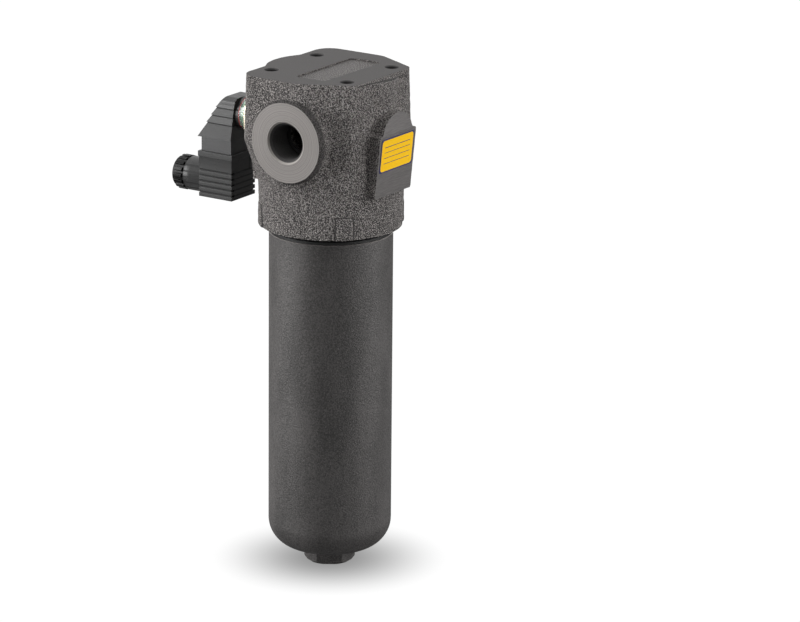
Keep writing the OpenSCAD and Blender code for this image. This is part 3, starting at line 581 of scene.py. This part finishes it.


# The bowl: a cold extruded steel cup with a hexagon milled on its foot, screwed into the head. It
# is phosphated a dull dark grey, but for a thin turned edge left bare at its shoulder, and shade is
# painted black on it in the gap under the head.

place, phosphate = start("phosphate")
x, y, z = place.axes()
fine = place.noise(1000.0, 2.0, 0.75)
cloud = place.stretch(1.0, 1.0, 0.35).noise(45.0, 3.0, 0.6)
grey = (fine * 0.7 + cloud * 0.3).step(0.36, 0.64)
bare = z.between(0.2331, 0.2334, 0.0001)
# Painted shade: black in the gap under the head, above the bowl's shoulder.
shade_under_head = z.between(0.2337, 0.2390, line_blur)
coated = grey.shade((0.038, 0.036, 0.035), (0.110, 0.104, 0.102))
turned = bare.shade(coated, (0.26, 0.24, 0.23))
finish(place, Base_Color=shade_under_head.shade(turned, (0.006, 0.006, 0.006)), Metallic=0.30,
       Roughness=0.52 - bare * 0.2, Normal=fine.bump(0.0005, 0.6))


def wear(made, material):
    """Gives a piece one material all over."""
    made.data.materials.clear()
    made.data.materials.append(material)


# Outside, from the foot up: round corner, shoulder, relieved neck, thread and the two seals' seat.
shoulder, neck, seal_seat = 0.0411, 0.0366, 0.0338
cup_thread = 0.002, 0.0367, 0.03797
foot_corner = [(station, radius) for radius, station in arc((0.022, 0.0302), 0.020, -90, 0, 15)]
cup = turning("cup", [
    *foot_corner, (0.2331, 0.0420), (0.2335, 0.0416), (0.23351, shoulder), (0.2353, shoulder),
    (0.2355, 0.0409), (0.23551, neck), (0.2394, neck),
    *thread_rows(0.2398, 0.2542, *cup_thread),
    (0.2544, neck), (0.2570, neck), (0.25701, seal_seat), (0.2630, seal_seat), (0.26301, neck),
    (0.2655, neck), (0.2660, 0.0361)], sides=128)
inside_corner = [(0.0252 - 0.004 * math.cos(math.radians(a)),
                  0.027 + 0.004 * math.sin(math.radians(a))) for a in range(0, 91, 10)]
machine(cup, turning("cup_bore", [*inside_corner, (0.2652, 0.0310), (0.2661, 0.0322),
                                  (0.2700, 0.0322)], sides=128))
hexagon_corner, hexagon_top, hexagon_turn = 0.0173205, 0.0114, 33.6
hexagon = prism("hexagon", arc((0, 0), hexagon_corner, 0, 300, 5), 0.0, hexagon_top)
hexagon.data.transform(Matrix.Rotation(math.radians(hexagon_turn), 4, "Z"))
machine(hexagon, turning("hexagon_chamfer", [(-0.001, 0.0145), (0.0, 0.0155), (0.0120, 0.0275)]),
        "INTERSECT")
machine(cup, hexagon, "UNION")
crisp(cup)
wear(cup, phosphate)
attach(cup, "bowl")
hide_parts("bowl")


# The label: a thin yellow foil stuck on the head's right pad, with round corners, a dark border
# and blank rules where the real one is printed.

label_w, label_h, label_round = 0.0385, 0.0235, 0.0015
foil_under, foil_top = 0.00001, 0.0003
upright = Matrix(((0, 0, 1, 0), (1, 0, 0, 0), (0, 1, 0, 0), (0, 0, 0, 1)))
on_pad = Matrix.Translation((0.054, 0, port_z + 0.0045)) @ Matrix.Rotation(lean, 4, "Y") \
    @ Matrix.Translation((0, 0, -0.002 - label_h / 2)) @ upright
corner_y, corner_z = label_w / 2 - label_round, label_h / 2 - label_round
plate = prism("foil_plate", rounded(-corner_y, -corner_z, corner_y, corner_z, label_round, 6),
              foil_under, foil_top)
plate.data.transform(on_pad)


def lines(height, spans, blur):
    """A mask of level lines, one for each span of heights."""
    mask = height.between(*spans[0], blur)
    for span in spans[1:]:
        mask = mask | height.between(*span, blur)
    return mask


print_blur, border_inset = 0.0001, 0.0032
place, foil = start("foil")
x, y, z = place.axes()
rise = (z - (port_z + 0.0025 - label_h / 2)) * (1 / math.cos(lean))
reach_y = (abs(y) - (label_w / 2 - border_inset)) | 0.0
reach_z = (abs(rise) - (label_h / 2 - border_inset)) | 0.0
border = away(reach_y, reach_z).step(0.00225, 0.00235)
rules = lines(rise, ((0.0056, 0.0060), (0.0020, 0.0023), (-0.0018, -0.0015), (-0.0056, -0.0053)),
              print_blur) * y.between(-0.0150, 0.0150, print_blur)
finish(place, Base_Color=(border | rules).shade((1.0, 0.58, 0.004), (0.04, 0.045, 0.12)),
       Roughness=0.5, Specular_IOR_Level=0.2)
crisp(plate)
wear(plate, foil)
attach(plate, "head")
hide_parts("label")


# The small pieces, most of them inside: turned and drawn steel, plated caps and contacts, moulded
# plastic, rubber seals and glass fibre. They show their CAD solids, each in the finish of its
# material, and are held by the pieces round them.

fine_grain = 1500.0


def plain(name, colour, roughness, metallic=0.0, relief=0.0001, **more):
    """A finish with a fine grain, a little darker in its hollows."""
    place, made = start(name)
    texture = place.noise(fine_grain, 2.0, 0.6)
    darker = tuple(0.82 * c for c in colour)
    finish(place, Base_Color=texture.step(0.3, 0.7).shade(darker, colour), Metallic=metallic,
           Roughness=texture * 0.1 + (roughness - 0.05), Normal=texture.bump(relief, 0.5), **more)
    return made


# Green shows in the window at rest, and red once the band has moved.
seam_from, seam_to = -0.0640, -0.0638
place, two_colours = start("two_colours")
x, y, z = place.axes()
finish(place, Roughness=0.3,
       Base_Color=x.step(seam_from, seam_to).shade((0.05, 0.32, 0.10), (0.55, 0.02, 0.01)))

small = {
    "steel": plain("turned_steel", (0.50, 0.49, 0.47), 0.35, 1.0),
    "spring_steel": plain("drawn_wire", (0.55, 0.55, 0.56), 0.25, 1.0),
    "nickel": plain("nickel_plate", (0.62, 0.55, 0.42), 0.24, 1.0, relief=0.00003),
    "cap_zinc": plain("zinc_plate", (0.62, 0.62, 0.60), 0.3, 1.0),
    "media": plain("glass_fibre", (0.80, 0.78, 0.70), 0.8, relief=0.0003),
    "black_plastic": plain("moulded_black", (0.030, 0.030, 0.031), 0.38, relief=0.00008),
    "seal_rubber": plain("seal_rubber", (0.020, 0.020, 0.020), 0.6),
    "seal_white": plain("backup_white", (0.78, 0.77, 0.72), 0.4),
    "seal_red": plain("seal_red", (0.33, 0.03, 0.02), 0.45),
    "band_green": two_colours,
    "window_clear": plain("clear_window", (0.93, 0.96, 0.95), 0.05, Transmission_Weight=0.9,
                          IOR=1.49),
    "magnet": plain("sintered_magnet", (0.25, 0.25, 0.27), 0.4, 1.0),
    "switch_glass": plain("switch_glass", (0.5, 0.7, 0.55), 0.1, Transmission_Weight=0.6),
    "terminal_brass": plain("tinned_brass", (0.62, 0.50, 0.26), 0.3, 1.0),
}
for entry in frame["record"]["subparts"]:
    if entry["material_slot"] in small:
        wear(nodes[entry["node"]], small[entry["material_slot"]])


# The element's pleats: a sheet of glass fibre in forty folds, held between the element's two caps.
# They are a copy of their CAD solid, with the folds shaded crisp.

def stand_in(made, node):
    """Lets a piece take a CAD node's place on the same body, and hides the node."""
    record = frame["record"]
    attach(made, next(body for body, held in record["behaviour"]["bodies"].items()
                       if node in held))
    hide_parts(node)


def copied(node, name):
    """A copy of a CAD node, in its place."""
    made = bpy.data.objects.new(name, nodes[node].data.copy())
    scene.collection.objects.link(made)
    stand_in(made, node)
    return made


crisp(copied("element_media", "pleats"), degrees=20)


# The elbow on the indicator's end: a glossy black moulding whose sides are stepped. Shade is
# painted darker in the hollow under each step.

def moulded(name, hollows, colour=0.021, roughness=0.36, glint=0.36):
    """Black moulded plastic with painted shade in hollows that the function marks from x, y, z."""
    place, made = start(name)
    texture = place.noise(fine_grain, 2.0, 0.6)
    # Painted shade: a darker colour, and a rougher face, in the marked hollows.
    dark = hollows(*place.axes())
    finish(place, Base_Color=dark.shade((colour,) * 3, (0.003,) * 3), Specular_IOR_Level=glint,
           Roughness=texture * 0.12 + (roughness - 0.06) + dark * 0.3,
           Normal=texture.bump(0.00008, 0.5))
    return made


# Painted shade in the hollow under each of the elbow's three steps.
def shade_under_steps(x, y, z):
    return lines(z, ((0.2966, 0.2974), (0.3021, 0.3029), (0.3079, 0.3087)), line_blur)


elbow = copied("elbow_housing", "elbow_cover")
crisp(elbow)
wear(elbow, moulded("stepped_black", shade_under_steps))


# The springs of the bypass valve and of the indicator, wound from steel wire. On the real filter
# each shortens towards its fixed end as the valve's poppet or the indicator's piston moves. Here
# each is a copy of its CAD solid, with a mesh of its own.

def pressed(node, name):
    """A copy of a CAD spring, in its place and with a mesh of its own."""
    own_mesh(copied(node, name))


pressed("bypass_spring", "bypass_coil")
pressed("indicator_spring", "indicator_coil")


# The plug with its grip ribs, its notched cable nut and the base with its contacts are black
# mouldings, and the indicator's body is turned and plated. Their edges are broken, as on the real
# pieces, so that they catch the light. Shade is painted in the grooves between the plug's ribs and
# at the nut's root.

# Painted shade in the grooves between the plug's grip ribs.
def shade_in_ribs(x, y, z):
    first_rib, rib_pitch = 0.2445, 0.0039
    rise = (z - first_rib) * (1 / rib_pitch)
    return rise.math("FRACT", rise).step(0.68, 0.72) * (1 - z.step(0.2640, 0.2642))


# Painted shade in a narrow band at the cable nut's root.
def shade_at_root(x, y, z):
    out = 0 - x
    return out.step(0.1140, 0.1145) * (1 - out.step(0.1162, 0.1165))


def broken(node, name, width):
    """A copy of a CAD node with its sharp edges rounded to the width, in the node's place."""
    same_point, flat, sharp = 2e-6, math.radians(1.0), math.radians(32)
    mesh = bmesh.new()
    mesh.from_mesh(nodes[node].data)
    bmesh.ops.remove_doubles(mesh, verts=mesh.verts, dist=same_point)
    bmesh.ops.dissolve_limit(mesh, angle_limit=flat, verts=mesh.verts, edges=mesh.edges)
    share = mesh.edges.layers.float.new("bevel_weight_edge")
    for edge in mesh.edges:
        edge[share] = float(edge.is_convex and edge.calc_face_angle(0) > sharp)
    data = bpy.data.meshes.new(name)
    mesh.to_mesh(data)
    mesh.free()
    for material in nodes[node].data.materials:
        data.materials.append(material)
    data.shade_smooth()
    made = bpy.data.objects.new(name, data)
    scene.collection.objects.link(made)
    edge = made.modifiers.new("edge", "BEVEL")
    edge.width, edge.segments, edge.limit_method = width, 2, "WEIGHT"
    level = made.modifiers.new("level", "WEIGHTED_NORMAL")
    level.mode, level.weight = "FACE_AREA", 100
    settle(made)
    stand_in(made, node)
    return made


broken("contact_base", "contact_base_broken", width=0.0003)
broken("indicator_body", "indicator_body_broken", width=0.0003)
plug = broken("plug_housing", "plug_housing_broken", width=0.0004)
wear(plug, moulded("ribbed_black", shade_in_ribs))
nut = broken("gland_nut", "gland_nut_broken", width=0.0003)
wear(nut, moulded("nut_black", shade_at_root, colour=0.004, roughness=0.30, glint=0.15))
